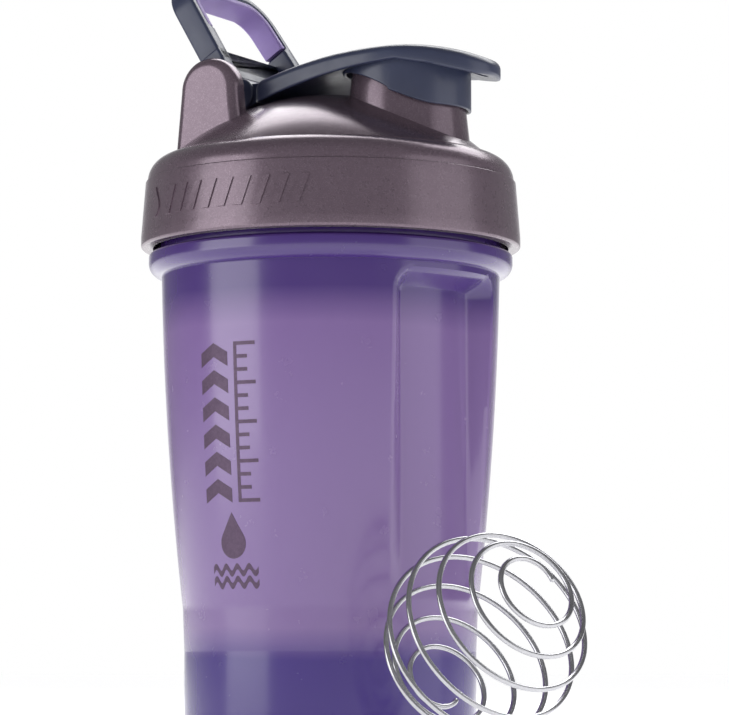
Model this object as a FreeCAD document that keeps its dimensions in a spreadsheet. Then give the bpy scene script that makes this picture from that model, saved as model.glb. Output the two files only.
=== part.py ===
"""Protein shaker bottle: cup, screw lid, flip cap with plug, carry loop, hinge pin, seal and whisk ball.

Millimetres, +Z up. The origin is the centre of the base, on the surface the bottle stands on, and +X points
to the drinking spout. Every length comes from the sheet "dims"; sketches and features are bound to its cells.
"""
import FreeCAD, Part
import math
import os
import Sketcher

Vector = FreeCAD.Vector

# ---------------------------------------------------------------- driving dimensions

DIMENSIONS = {
    # cup, outside
    "foot_radius": 34.4, "foot_round": 2.4, "base_radius": 36.7, "straight_top": 20.0,
    "waist_radius": 37.15, "waist_height": 31.0, "mouth_radius": 42.9, "flare_top": 114.6, "flare_arc": 880.0,
    "collar_radius": 46.2, "collar_rise": 3.2, "collar_arc": 3.36, "collar_top": 120.5, "collar_edge": 0.8,
    "neck_radius": 43.2, "brim_height": 140.0,
    # cup, inside
    "cup_wall": 1.7, "floor_height": 4.0, "floor_radius": 22.0, "floor_rise": 12.0, "floor_arc": 18.0,
    # sunk grip panels on two sides of the cup; panel_reach is well outside the cup
    "panel_angle": 50.0, "panel_radius": 36.95, "panel_low": 31.8, "panel_high": 113.2,
    "panel_inner_angle": 54.6, "panel_corner": 5.0, "panel_azimuth": -13.5, "panel_reach": 55.0,
    # how far a cutting shape runs past the solid it cuts
    "overrun": 5.0,
    # screw thread, with the same lead on cup and lid
    "thread_lead": 8.0, "thread_rise": 8.0, "thread_depth": 1.4, "thread_root": 2.6, "thread_slope": 0.7,
    "thread_bite": 0.3, "neck_thread_start": 127.5, "lid_thread_start": 124.3,
    # lid, outside
    "skirt_bottom": 121.8, "skirt_radius": 48.2, "skirt_edge": 0.8, "skirt_bead": 3.6, "bead_step": 0.25,
    "ring_top": 138.6, "ring_top_radius": 47.0, "shoulder_radius": 42.4, "shoulder_top": 144.8,
    "shoulder_arc": 6.4, "dome_edge": 41.3, "dome_top": 161.0, "dome_arc": 59.4,
    # lid, inside
    "lid_wall": 2.2, "skirt_bore": 45.2, "roof_height": 142.0, "lip_outer": 41.0, "lip_inner": 39.4,
    "lip_bottom": 136.0,
    # drinking spout
    "spout_offset": 22.2, "spout_foot_radius": 16.3, "spout_foot": 143.0, "spout_tip_radius": 13.8,
    "spout_top": 166.2, "spout_bore": 11.6, "spout_bore_foot": 12.6, "spout_edge": 0.7,
    # hinge lugs and pin
    "hinge_offset": -20.2, "hinge_height": 162.0, "lug_inner": 22.8, "lug_width": 5.0, "lug_arc": 8.3,
    "lug_centre": 160.8, "lug_foot_half": 10.0, "lug_round": 1.8,
    "pin_radius": 1.5, "pin_reach": 26.4, "pin_length": 54.0, "pin_fit": 0.02, "hinge_fit": 0.08,
    # flip cap
    "crown_arc": 70.0, "arm_half": 17.0, "arm_widens": 3.0, "paddle_half": 18.8, "paddle_end": 20.0,
    "paddle_arc": 36.0, "tab_half": 9.5, "tab_start": 43.0, "tab_nose_arc": 13.0, "tab_tip": 47.1,
    "plan_low": 150.0, "plan_height": 30.0, "crown_sweep": 50.0, "trim_margin": 9.0,
    "arm_rear": -13.4, "arm_rear_top": 165.4, "arm_peak": 24.0, "arm_peak_top": 171.6, "arm_back_arc": 120.5,
    "tab_nose_top": 166.3, "tab_arc": 52.0, "arm_rear_low": 160.3, "arm_under_arc": 148.0,
    "arm_front": 28.0, "arm_front_low": 168.2, "tab_rim": 35.0, "tab_rim_low": 166.4, "lip_low": 162.7,
    "lip_depth": 2.0, "paddle_start": 13.0, "bevel_low": 2.0, "bevel_high": 5.9, "bevel_run": 5.0,
    "hollow_radius": 7.9, "hollow_centre": 37.3, "hollow_height": 160.0,
    "knuckle_radius": 4.1, "knuckle_half": 12.0,
    "neck_half": 11.0, "neck_rise": 2.6, "neck_bite": 2.0, "neck_inset": 0.8,
    "cap_skirt_outer": 16.2, "cap_skirt_inner": 15.35, "cap_skirt_top": 167.4, "cap_skirt_rear": 164.8,
    "cap_skirt_mid": 159.4, "cap_skirt_front": 155.2, "cap_skirt_arc": 40.0, "cap_skirt_nose": 0.6,
    "skirt_rear_end": -12.0, "skirt_middle": 3.0, "skirt_drop_end": 11.5, "skirt_drop_arc": 9.0,
    "cap_bore_height": 20.0,
    # spout plug
    "plug_radius": 10.9, "plug_tip_radius": 10.2, "plug_bottom": 163.6, "plug_edge": 1.2,
    "plug_flange": 13.2, "plug_flange_low": 166.5,
    # carry loop, in its own frame: across the hinge, and up from the pin
    "loop_lean": 32.8, "loop_forward": 2.4, "strap_width": 6.4, "strap_outer": 2.5, "strap_full": 4.4,
    "ear_radius": 4.2, "ear_inner": 17.7, "ear_outer": 22.4, "ear_top": 11.0, "ear_shoulder": 6.0,
    "loop_half": 22.3, "loop_top_half": 20.6, "loop_top": 33.4, "loop_round": 10.0,
    "web_bottom": 5.4, "web_top": 10.8, "web_back": -2.0, "web_front": 1.0, "web_round": 6.0,
    "web_half": 17.6, "liner_foot": 17.0,
    # seal ring
    "seal_inner": 41.4, "seal_outer": 44.6, "seal_bottom": 140.3, "seal_top": 141.7,
    # whisk ball; ball_ease draws the turns near both poles closer together than those round its middle
    "ball_radius": 23.9, "wire_radius": 0.65, "ball_turns": 7.85, "ball_ease": 0.2, "ball_first_spin": -173.9,
    "ball_end_angle": 14.0, "ball_x": 63.3, "ball_y": -37.4, "ball_height": 23.6,
    "ball_pole_x": 0.76, "ball_pole_y": -0.40, "ball_pole_z": 0.5,
}

doc = FreeCAD.newDocument("shaker_bottle")
sheet = doc.addObject("Spreadsheet::Sheet", "dims")
for row, (alias, number) in enumerate(DIMENSIONS.items(), start=1):
    sheet.set(f"A{row}", alias)
    sheet.set(f"B{row}", str(number))
    sheet.setAlias(f"B{row}", alias)
doc.recompute()


def on_sheet(expression):
    """The expression with each cell's name written as dims.name."""
    words = expression.split(" ")
    return " ".join(f"dims.{word}" if word in DIMENSIONS else word for word in words)


def measure(length):
    """Value of a plain number, or of an expression on the sheet's cells."""
    if isinstance(length, str):
        return float(sheet.evalExpression(on_sheet(length)))
    return float(length)


def bind(feature, name, length):
    """Set a property and keep it bound to the sheet."""
    if isinstance(length, str):
        feature.setExpression(name, on_sheet(length))
    else:
        setattr(feature, name, length)


# ---------------------------------------------------------------- sketches

def new_body(label):
    body = doc.addObject("PartDesign::Body", label)
    body.Label = label
    return body


def origin_feature(body, role):
    return next(feature for feature in body.Origin.OriginFeatures if feature.Role == role)


def new_sketch(body, name, plane, across="", up="", out=""):
    """Sketch on an origin plane of the body, its own origin moved across, up and out along the normal."""
    sketch = body.newObject("Sketcher::SketchObject", name)
    sketch.AttachmentSupport = [(origin_feature(body, plane), "")]
    sketch.MapMode = "FlatFace"
    for direction, length in (("x", across), ("y", up), ("z", out)):
        if length:
            sketch.setExpression(f"AttachmentOffset.Base.{direction}", on_sheet(length))
    return sketch


def hold(sketch, kind, length, *where):
    """Add one dimension to the sketch, bound to the sheet where it is an expression."""
    place = sketch.addConstraint(Sketcher.Constraint(kind, *where, measure(length)))
    if isinstance(length, str):
        sketch.setExpression(f"Constraints[{place}]", on_sheet(length))


def arc_between(start, end, radius):
    """Short arc from start to end; a positive radius bulges to the left of the way from start to end.

    Sketches want every arc counter-clockwise, so one that bulges left is made from its end.
    """
    chord = end - start
    left = Vector(-chord.y, chord.x, 0).normalize()
    half = chord.Length / 2
    sagitta = abs(radius) - math.sqrt(radius * radius - half * half)
    middle = (start + end) * 0.5 + left * math.copysign(sagitta, radius)
    return Part.Arc(end, middle, start) if radius > 0 else Part.Arc(start, middle, end)


def outline(sketch, corners):
    """Closed outline through the corners (across, up) or (across, up, radius of the arc that leaves)."""
    points = [Vector(measure(corner[0]), measure(corner[1]), 0) for corner in corners]
    following = points[1:] + points[:1]
    for corner, start, end in zip(corners, points, following):
        if len(corner) == 3:
            sketch.addGeometry(arc_between(start, end, measure(corner[2])))
        else:
            sketch.addGeometry(Part.LineSegment(start, end))
    ends = []
    for geometry, start in zip(sketch.Geometry, points):
        starts_here = (geometry.StartPoint - start).Length < 1e-6
        ends.append((1, 2) if starts_here else (2, 1))
    for index, corner in enumerate(corners):
        after = (index + 1) % len(corners)
        sketch.addConstraint(Sketcher.Constraint("Coincident", index, ends[index][1], after, ends[after][0]))
        hold(sketch, "DistanceX", corner[0], -1, 1, index, ends[index][0])
        hold(sketch, "DistanceY", corner[1], -1, 1, index, ends[index][0])
        if len(corner) == 3:
            size = corner[2].lstrip("- ") if isinstance(corner[2], str) else abs(corner[2])
            hold(sketch, "Radius", size, index)
    return sketch


def circle(sketch, radius):
    """Circle about the sketch's origin."""
    sketch.addGeometry(Part.Circle(Vector(), Vector(0, 0, 1), measure(radius)))
    sketch.addConstraint(Sketcher.Constraint("Coincident", 0, 3, -1, 1))
    hold(sketch, "Radius", radius, 0)
    return sketch


# ---------------------------------------------------------------- features

def feature_on(body, kind, name, sketch):
    feature = body.newObject(kind, name)
    feature.Profile = sketch
    return feature


def turned(body, kind, name, sketch, axis="V_Axis", angle=360.0, both_ways=False):
    """Revolution or Groove of the sketch about one of its axes."""
    feature = feature_on(body, kind, name, sketch)
    feature.ReferenceAxis = (sketch, [axis])
    bind(feature, "Angle", angle)
    feature.Midplane = both_ways
    return feature


def pad(body, name, sketch, length, both_ways=False, reversed_way=False):
    feature = feature_on(body, "PartDesign::Pad", name, sketch)
    bind(feature, "Length", length)
    feature.Midplane = both_ways
    feature.Reversed = reversed_way
    return feature


def pocket_through(body, name, sketch, both_ways=False):
    """Pocket through everything, away from the sketch's normal or both ways."""
    feature = feature_on(body, "PartDesign::Pocket", name, sketch)
    feature.Type = "ThroughAll"
    feature.Midplane = both_ways
    return feature


def mirrored(body, name, original, plane):
    feature = body.newObject("PartDesign::Mirrored", name)
    feature.Originals = [original]
    feature.MirrorPlane = (origin_feature(body, plane), [""])
    body.Tip = feature
    return feature


def thread(body, name, radius, outward, start):
    """Helical ridge that stands on a wall of the radius, outward or inward."""
    way = "+" if outward else "-"
    back = "-" if outward else "+"
    sketch = new_sketch(body, name + "_profile", "XZ_Plane")
    outline(sketch, [
        (f"{radius} {back} thread_bite", start),
        (f"{radius} {way} thread_depth", f"{start} + thread_slope"),
        (f"{radius} {way} thread_depth", f"{start} + thread_root - thread_slope"),
        (f"{radius} {back} thread_bite", f"{start} + thread_root"),
    ])
    ridge = feature_on(body, "PartDesign::AdditiveHelix", name, sketch)
    ridge.ReferenceAxis = (sketch, ["V_Axis"])
    ridge.Mode = "pitch-height-angle"
    bind(ridge, "Pitch", "thread_lead")
    bind(ridge, "Height", "thread_rise")
    return ridge


def rounded(body, name, radius, wanted):
    """Fillet the edges of the body's last shape that the test picks."""
    doc.recompute()
    base = body.Tip
    names = [f"Edge{number}" for number, edge in enumerate(base.Shape.Edges, start=1) if wanted(edge)]
    fillet = body.newObject("PartDesign::Fillet", name)
    fillet.Base = (base, names)
    bind(fillet, "Radius", radius)
    return fillet


def boolean(kind, label, base, tool):
    result = doc.addObject(kind, label)
    result.Label = label
    result.Base = base
    result.Tool = tool
    return result


# ---------------------------------------------------------------- cup

def sunk_panels(body, name, radius, low, high, angle):
    """Two recesses on opposite sides, with a floor on a cylinder of the radius."""
    sketch = new_sketch(body, name + "_profile", "XZ_Plane")
    outline(sketch, [(radius, low), ("panel_reach", low), ("panel_reach", high), (radius, high)])
    recess = turned(body, "PartDesign::Groove", name, sketch, angle=angle, both_ways=True)
    pair = body.newObject("PartDesign::PolarPattern", name + "_pair")
    pair.Originals = [recess]
    pair.Axis = (origin_feature(body, "Z_Axis"), [""])
    pair.Occurrences = 2
    body.Tip = pair
    return pair


def make_cup():
    outside = new_body("cup_outside")
    sketch = new_sketch(outside, "cup_profile", "XZ_Plane")
    outline(sketch, [
        (0, 0), ("foot_radius", 0, "- foot_round"),
        ("base_radius", "foot_round"), ("base_radius", "straight_top"),
        ("waist_radius", "waist_height", "- flare_arc"), ("mouth_radius", "flare_top", "- collar_arc"),
        ("collar_radius", "flare_top + collar_rise"), ("collar_radius", "collar_top - collar_edge"),
        ("collar_radius - collar_edge", "collar_top"), ("neck_radius", "collar_top"),
        ("neck_radius", "brim_height"), (0, "brim_height"),
    ])
    turned(outside, "PartDesign::Revolution", "cup_form", sketch)
    sunk_panels(outside, "grip_panel", "panel_radius", "panel_low", "panel_high", "panel_angle")
    panel_top = measure("panel_high")
    rounded(outside, "panel_corners", "panel_corner",
            lambda edge: isinstance(edge.Curve, Part.Line) and abs(edge.BoundBox.ZMin - panel_top) < 0.01)
    thread(outside, "neck_thread", "neck_radius", True, "neck_thread_start")

    inside = new_body("cup_inside")
    sketch = new_sketch(inside, "cavity_profile", "XZ_Plane")
    outline(sketch, [
        (0, "floor_height"), ("floor_radius", "floor_height", "- floor_arc"),
        ("base_radius - cup_wall", "floor_height + floor_rise"), ("base_radius - cup_wall", "straight_top"),
        ("waist_radius - cup_wall", "waist_height", "- flare_arc"),
        ("mouth_radius - cup_wall", "flare_top"), ("mouth_radius - cup_wall", "brim_height + overrun"),
        (0, "brim_height + overrun"),
    ])
    turned(inside, "PartDesign::Revolution", "cavity_form", sketch)
    sunk_panels(inside, "panel_back", "panel_radius - cup_wall", "panel_low - cup_wall",
                "panel_high + cup_wall", "panel_inner_angle")

    cup = boolean("Part::Cut", "bottle_body", outside, inside)
    cup.Placement = FreeCAD.Placement(Vector(), FreeCAD.Rotation(Vector(0, 0, 1), measure("panel_azimuth")))
    return cup


# ---------------------------------------------------------------- lid

DOME_INSIDE = "dome_top - dome_arc + sqrt( ( dome_arc - lid_wall ) ^ 2 - lip_inner ^ 2 )"
DOME_OUTSIDE = "dome_top - dome_arc + sqrt( dome_arc ^ 2 - dome_edge ^ 2 )"


def make_lug():
    """One hinge lug on the -Y side, with its outer edges rounded."""
    lug = new_body("lug")
    sketch = new_sketch(lug, "lug_profile", "XZ_Plane", across="hinge_offset", out="lug_inner")
    outline(sketch, [
        ("- lug_foot_half", "spout_foot"), ("- lug_arc", "lug_centre", "lug_arc"),
        (0, "lug_centre + lug_arc", "lug_arc"), ("lug_arc", "lug_centre"), ("lug_foot_half", "spout_foot"),
    ])
    pad(lug, "lug_plate", sketch, "lug_width")
    outer = measure("lug_inner + lug_width")
    rounded(lug, "lug_rounds", "lug_round",
            lambda edge: abs(edge.BoundBox.YMin + outer) < 0.01 and abs(edge.BoundBox.YMax + outer) < 0.01)
    return lug


def make_lid_outside():
    outside = new_body("lid_outside")
    sketch = new_sketch(outside, "lid_profile", "XZ_Plane")
    outline(sketch, [
        (0, "skirt_bottom"), ("skirt_radius - skirt_edge", "skirt_bottom"),
        ("skirt_radius", "skirt_bottom + skirt_edge"), ("skirt_radius", "skirt_bottom + skirt_bead"),
        ("skirt_radius - bead_step", "skirt_bottom + skirt_bead + bead_step"),
        ("ring_top_radius", "ring_top", "- shoulder_arc"), ("shoulder_radius", "shoulder_top"),
        ("dome_edge", DOME_OUTSIDE, "- dome_arc"), (0, "dome_top"),
    ])
    turned(outside, "PartDesign::Revolution", "lid_form", sketch)

    sketch = new_sketch(outside, "spout_profile", "XZ_Plane", across="spout_offset")
    outline(sketch, [
        (0, "spout_foot"), ("spout_foot_radius", "spout_foot"),
        ("spout_tip_radius", "spout_top - spout_edge"), ("spout_tip_radius - spout_edge", "spout_top"),
        (0, "spout_top"),
    ])
    turned(outside, "PartDesign::Revolution", "spout", sketch)

    lug = make_lug()
    far_lug = doc.addObject("Part::Mirroring", "far_lug")
    far_lug.Source = lug
    far_lug.Normal = Vector(0, 1, 0)
    whole = doc.addObject("Part::MultiFuse", "lid_whole")
    whole.Shapes = [outside, lug, far_lug]
    return whole


def make_lid_inside():
    inside = new_body("lid_inside")
    sketch = new_sketch(inside, "lid_inside_profile", "XZ_Plane")
    outline(sketch, [
        (0, "skirt_bottom - overrun"), ("skirt_bore", "skirt_bottom - overrun"),
        ("skirt_bore", "roof_height"),
        ("lip_outer", "roof_height"), ("lip_outer", "lip_bottom"), ("lip_inner", "lip_bottom"),
        ("lip_inner", DOME_INSIDE, "- ( dome_arc - lid_wall )"), (0, "dome_top - lid_wall"),
    ])
    turned(inside, "PartDesign::Revolution", "lid_inside_form", sketch)

    sketch = new_sketch(inside, "spout_bore_profile", "XZ_Plane", across="spout_offset")
    outline(sketch, [
        (0, "lip_bottom"), ("spout_bore_foot", "lip_bottom"), ("spout_bore", "spout_top + overrun"),
        (0, "spout_top + overrun"),
    ])
    turned(inside, "PartDesign::Revolution", "spout_bore_form", sketch)
    return inside


def make_lid():
    """Solid outside with its lugs, hollowed, bored for the pin from the +Y side, and threaded inside."""
    hollow = boolean("Part::Cut", "lid_hollow", make_lid_outside(), make_lid_inside())

    socket = doc.addObject("Part::Cylinder", "pin_socket")
    bind(socket, "Radius", "pin_radius + pin_fit")
    bind(socket, "Height", "pin_length + overrun")
    socket.Placement = along_y("hinge_offset", "- pin_reach", "hinge_height")
    bored = boolean("Part::Cut", "lid_bored", hollow, socket)

    ridge = new_body("lid_ridge")
    thread(ridge, "lid_thread", "skirt_bore", False, "lid_thread_start")
    return boolean("Part::Fuse", "lid", bored, ridge)


def along_y(x, y, z):
    """Placement of something made up Z, laid along Y from the point."""
    return FreeCAD.Placement(Vector(measure(x), measure(y), measure(z)),
                             FreeCAD.Rotation(Vector(0, 0, 1), Vector(0, 1, 0)))


def make_seal():
    seal = new_body("lid_seal")
    sketch = new_sketch(seal, "seal_profile", "XZ_Plane")
    outline(sketch, [("seal_inner", "seal_bottom"), ("seal_outer", "seal_bottom"),
                     ("seal_outer", "seal_top"), ("seal_inner", "seal_top")])
    turned(seal, "PartDesign::Revolution", "seal_ring", sketch)
    return seal


def make_pin():
    pin = doc.addObject("Part::Cylinder", "hinge_pin")
    pin.Label = "hinge_pin"
    bind(pin, "Radius", "pin_radius")
    bind(pin, "Height", "pin_length")
    pin.Placement = along_y("hinge_offset", "- pin_reach", "hinge_height")
    return pin


# ---------------------------------------------------------------- flip cap

CROWN_AXIS = "arm_peak_top - crown_arc"


def make_arm():
    """Crowned arm with the paddle and thumb tab: a plan outline trimmed above and below by turned curves."""
    arm = new_body("cap_arm")
    sketch = new_sketch(arm, "plan", "XY_Plane", out="plan_low")
    outline(sketch, [
        ("arm_rear", "- arm_half"), ("arm_widens", "- arm_half"), ("paddle_start", "- paddle_half"),
        ("paddle_end", "- paddle_half", "- paddle_arc"), ("tab_start", "- tab_half", "- tab_nose_arc"),
        ("tab_start", "tab_half", "- paddle_arc"), ("paddle_end", "paddle_half"),
        ("paddle_start", "paddle_half"), ("arm_widens", "arm_half"), ("arm_rear", "arm_half"),
    ])
    pad(arm, "plan_block", sketch, "plan_height")

    sketch = new_sketch(arm, "top_curve", "XZ_Plane", up=CROWN_AXIS)
    down = f"- ( {CROWN_AXIS} )"
    outline(sketch, [
        ("arm_rear", f"arm_rear_top {down}", "arm_back_arc"), ("arm_peak", f"arm_peak_top {down}", "tab_arc"),
        ("tab_tip", f"tab_nose_top {down}"), ("tab_tip + trim_margin", f"tab_nose_top {down}"),
        ("tab_tip + trim_margin", f"plan_low + plan_height + trim_margin {down}"),
        ("arm_rear - trim_margin", f"plan_low + plan_height + trim_margin {down}"),
        ("arm_rear - trim_margin", f"arm_rear_top {down}"),
    ])
    turned(arm, "PartDesign::Groove", "top_trim", sketch, "H_Axis", "crown_sweep", both_ways=True)

    sketch = new_sketch(arm, "under_curve", "XZ_Plane", up=CROWN_AXIS)
    outline(sketch, [
        ("arm_rear - trim_margin", f"plan_low - trim_margin {down}"),
        ("tab_tip + trim_margin", f"plan_low - trim_margin {down}"),
        ("tab_tip + trim_margin", f"lip_low {down}"), ("tab_tip - lip_depth", f"lip_low {down}"),
        ("tab_rim", f"tab_rim_low {down}"), ("arm_front", f"arm_front_low {down}", "- arm_under_arc"),
        ("arm_rear", f"arm_rear_low {down}"), ("arm_rear - trim_margin", f"arm_rear_low {down}"),
    ])
    turned(arm, "PartDesign::Groove", "under_trim", sketch, "H_Axis", "crown_sweep", both_ways=True)

    sketch = new_sketch(arm, "tab_hollow_profile", "XZ_Plane", across="hollow_centre", up="hollow_height")
    outline(sketch, [(0, "- hollow_radius", "- hollow_radius"), ("hollow_radius", 0, "- hollow_radius"),
                     (0, "hollow_radius")])
    turned(arm, "PartDesign::Groove", "tab_hollow", sketch)

    sketch = new_sketch(arm, "rear_bevel_profile", "XZ_Plane", across="arm_rear", up="hinge_height")
    outline(sketch, [(-1, "bevel_low"), ("bevel_run", "bevel_high"), (-1, "bevel_high + overrun")])
    pocket_through(arm, "rear_bevel", sketch, both_ways=True)

    sketch = new_sketch(arm, "knuckle_profile", "XZ_Plane", across="hinge_offset", up="hinge_height")
    pad(arm, "knuckle", circle(sketch, "knuckle_radius"), "2 * knuckle_half", both_ways=True)

    sketch = new_sketch(arm, "neck_profile", "XZ_Plane", across="hinge_offset", up="hinge_height")
    outline(sketch, [
        (0, "- knuckle_radius"),
        ("arm_rear - hinge_offset + neck_bite", "arm_rear_low - hinge_height + neck_inset"),
        ("arm_rear - hinge_offset + neck_bite", "neck_rise"), (0, "neck_rise"),
    ])
    pad(arm, "neck", sketch, "2 * neck_half", both_ways=True)

    sketch = new_sketch(arm, "knuckle_bore_profile", "XZ_Plane", across="hinge_offset", up="hinge_height")
    pocket_through(arm, "knuckle_bore", circle(sketch, "pin_radius + hinge_fit"), both_ways=True)
    return arm


def make_flip_cap():
    arm = make_arm()

    skirt = new_body("cap_skirt")
    sketch = new_sketch(skirt, "skirt_ring", "XY_Plane", across="spout_offset", out="cap_skirt_top")
    circle(sketch, "cap_skirt_outer")
    pad(skirt, "skirt_block", sketch, "cap_skirt_top - plan_low", reversed_way=True)
    sketch = new_sketch(skirt, "skirt_edge_curve", "XZ_Plane", across="spout_offset")
    outline(sketch, [
        ("- paddle_end", "cap_skirt_rear"), ("skirt_rear_end", "cap_skirt_rear", "cap_skirt_arc"),
        ("skirt_middle", "cap_skirt_mid"),
        ("skirt_drop_end", "cap_skirt_front + cap_skirt_nose", "- skirt_drop_arc"),
        ("paddle_half", "cap_skirt_front"), ("paddle_half", "plan_low - overrun"),
        ("- paddle_end", "plan_low - overrun"),
    ])
    pocket_through(skirt, "skirt_edge_cut", sketch, both_ways=True)

    bore = doc.addObject("Part::Cylinder", "cap_bore")
    bore.Label = "cap_bore"
    bind(bore, "Radius", "cap_skirt_inner")
    bind(bore, "Height", "cap_bore_height")
    bore.Placement.Base = Vector(measure("spout_offset"), 0, measure("cap_skirt_top - cap_bore_height"))
    return boolean("Part::Cut", "flip_cap", boolean("Part::Fuse", "cap_whole", arm, skirt), bore)


def make_plug():
    plug = new_body("spout_plug")
    sketch = new_sketch(plug, "plug_profile", "XZ_Plane", across="spout_offset")
    outline(sketch, [
        (0, "plug_bottom"), ("plug_tip_radius", "plug_bottom"), ("plug_radius", "plug_bottom + plug_edge"),
        ("plug_radius", "plug_flange_low"), ("plug_flange", "plug_flange_low"),
        ("plug_flange", "cap_skirt_top"), (0, "cap_skirt_top"),
    ])
    turned(plug, "PartDesign::Revolution", "plug_form", sketch)
    return plug


# ---------------------------------------------------------------- carry loop

def stirrup(inset, foot):
    """Outline of the loop inset by a strap thickness, from a foot height up, across and up from the pin."""
    corner = "loop_top - loop_round"
    lean = f"( loop_half - loop_top_half ) * ( {foot} - ear_shoulder ) / ( {corner} - ear_shoulder )"
    foot_half = f"loop_half - {lean} - {inset}"
    turn = f"- ( loop_round - {inset} )"
    return [
        (f"- ( {foot_half} )", foot), (foot_half, foot), (f"loop_top_half - {inset}", corner, turn),
        ("loop_top_half - loop_round", f"loop_top - {inset}"),
        ("- ( loop_top_half - loop_round )", f"loop_top - {inset}", turn),
        (f"- ( loop_top_half - {inset} )", corner),
    ]


def lean_back(body):
    """Stand the loop on the pin, leaning back from upright."""
    pin = Vector(measure("hinge_offset"), 0, measure("hinge_height"))
    body.Placement = FreeCAD.Placement(pin, FreeCAD.Rotation(Vector(0, 1, 0), -measure("loop_lean")))


def make_loop_frame():
    frame = new_body("loop_frame")
    sketch = new_sketch(frame, "loop_outer", "YZ_Plane", out="loop_forward")
    pad(frame, "strap", outline(sketch, stirrup("0", "ear_shoulder")), "strap_width", both_ways=True)
    sketch = new_sketch(frame, "loop_opening", "YZ_Plane", out="loop_forward")
    pocket_through(frame, "opening", outline(sketch, stirrup("strap_full", "0")), both_ways=True)
    sketch = new_sketch(frame, "liner_seat_profile", "YZ_Plane", out="loop_forward")
    pocket_through(frame, "liner_seat", outline(sketch, stirrup("strap_outer", "liner_foot")), both_ways=True)

    sketch = new_sketch(frame, "web_profile", "YZ_Plane", out="web_back")
    outline(sketch, [
        ("- web_half", "web_bottom"), ("web_half", "web_bottom"),
        ("web_half", "web_top + web_round", "web_round"),
        ("web_half - web_round", "web_top"), ("web_round - web_half", "web_top", "web_round"),
        ("- web_half", "web_top + web_round"),
    ])
    pad(frame, "web", sketch, "web_front - web_back")

    sketch = new_sketch(frame, "ear_profile", "XZ_Plane", out="ear_inner")
    outline(sketch, [
        ("- ear_radius", 0, "- ear_radius"), (0, "- ear_radius", "- ear_radius"), ("ear_radius", 0),
        ("loop_forward + strap_width / 2", "ear_shoulder"), ("loop_forward + strap_width / 2", "ear_top"),
        ("loop_forward - strap_width / 2", "ear_top"),
    ])
    ear = pad(frame, "ear", sketch, "ear_outer - ear_inner")
    mirrored(frame, "ears", ear, "XZ_Plane")

    sketch = new_sketch(frame, "ear_bore_profile", "XZ_Plane")
    pocket_through(frame, "ear_bore", circle(sketch, "pin_radius + hinge_fit"), both_ways=True)
    lean_back(frame)
    return frame


def make_loop_liner():
    liner = new_body("loop_liner")
    sketch = new_sketch(liner, "liner_outer", "YZ_Plane", out="loop_forward")
    pad(liner, "lining", outline(sketch, stirrup("strap_outer", "liner_foot")), "strap_width", both_ways=True)
    sketch = new_sketch(liner, "liner_opening", "YZ_Plane", out="loop_forward")
    pocket_through(liner, "opening_cut", outline(sketch, stirrup("strap_full", "liner_foot - overrun")),
                   both_ways=True)
    lean_back(liner)
    return liner


# ---------------------------------------------------------------- whisk ball

def make_whisk_ball():
    """One wire wound on a sphere from pole to pole, round a tilted axis, resting on the floor."""
    radius, turns = measure("ball_radius - wire_radius"), measure("ball_turns")
    centre = Vector(measure("ball_x"), measure("ball_y"), measure("ball_height"))
    pole = Vector(measure("ball_pole_x"), measure("ball_pole_y"), measure("ball_pole_z")).normalize()
    across = pole.cross(Vector(0, 0, 1)).normalize()
    along = pole.cross(across)
    first, first_spin = math.radians(measure("ball_end_angle")), math.radians(measure("ball_first_spin"))
    ease = measure("ball_ease") / (2 * math.pi)
    arcs_per_turn = 8
    count = 2 * int(turns * arcs_per_turn)
    points = []
    for step in range(count + 1):
        part = step / count
        tilt = first + (math.pi - 2 * first) * (part - ease * math.sin(2 * math.pi * part))
        spin = first_spin + 2 * math.pi * turns * part
        ring = across * math.cos(spin) + along * math.sin(spin)
        points.append(centre + (ring * math.sin(tilt) + pole * math.cos(tilt)) * radius)
    arcs = [Part.Arc(*points[index:index + 3]).toShape() for index in range(0, count, 2)]
    start = arcs[0].tangentAt(arcs[0].FirstParameter)
    section = Part.Wire(Part.Circle(points[0], start, measure("wire_radius")).toShape())
    wire = Part.Wire(arcs).makePipeShell([section], True, False)
    ball = doc.addObject("Part::Feature", "whisk_ball")
    ball.Label = "whisk_ball"
    ball.Shape = wire
    return ball


# ---------------------------------------------------------------- check and write

def main():
    parts = [make_cup(), make_lid(), make_seal(), make_pin(), make_flip_cap(), make_plug(),
             make_loop_frame(), make_loop_liner(), make_whisk_ball()]
    doc.recompute()
    failed = [item.Label for item in doc.Objects if {"Invalid", "Error"} & set(item.State)]
    if failed:
        raise RuntimeError(f"these failed: {failed}")
    os.makedirs("parts", exist_ok=True)
    for part in parts:
        shape = part.Shape
        if shape.isNull() or not shape.isValid():
            raise RuntimeError(f"{part.Label} has no valid shape")
        shape.exportStep(f"parts/{part.Label}.step")
        print(f"{part.Label:12s} {len(shape.Solids)} solid, {shape.Volume / 1000:8.3f} cm3, {shape.BoundBox}")


main()
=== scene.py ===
"""Protein shaker bottle: fine meshes, materials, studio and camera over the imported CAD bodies.

Lengths below are millimetres in the CAD frame (+Z up, +X towards the spout) and become metres in the mesh.
"""
import bpy
import bmesh
import math
from mathutils import Matrix, Vector


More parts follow.
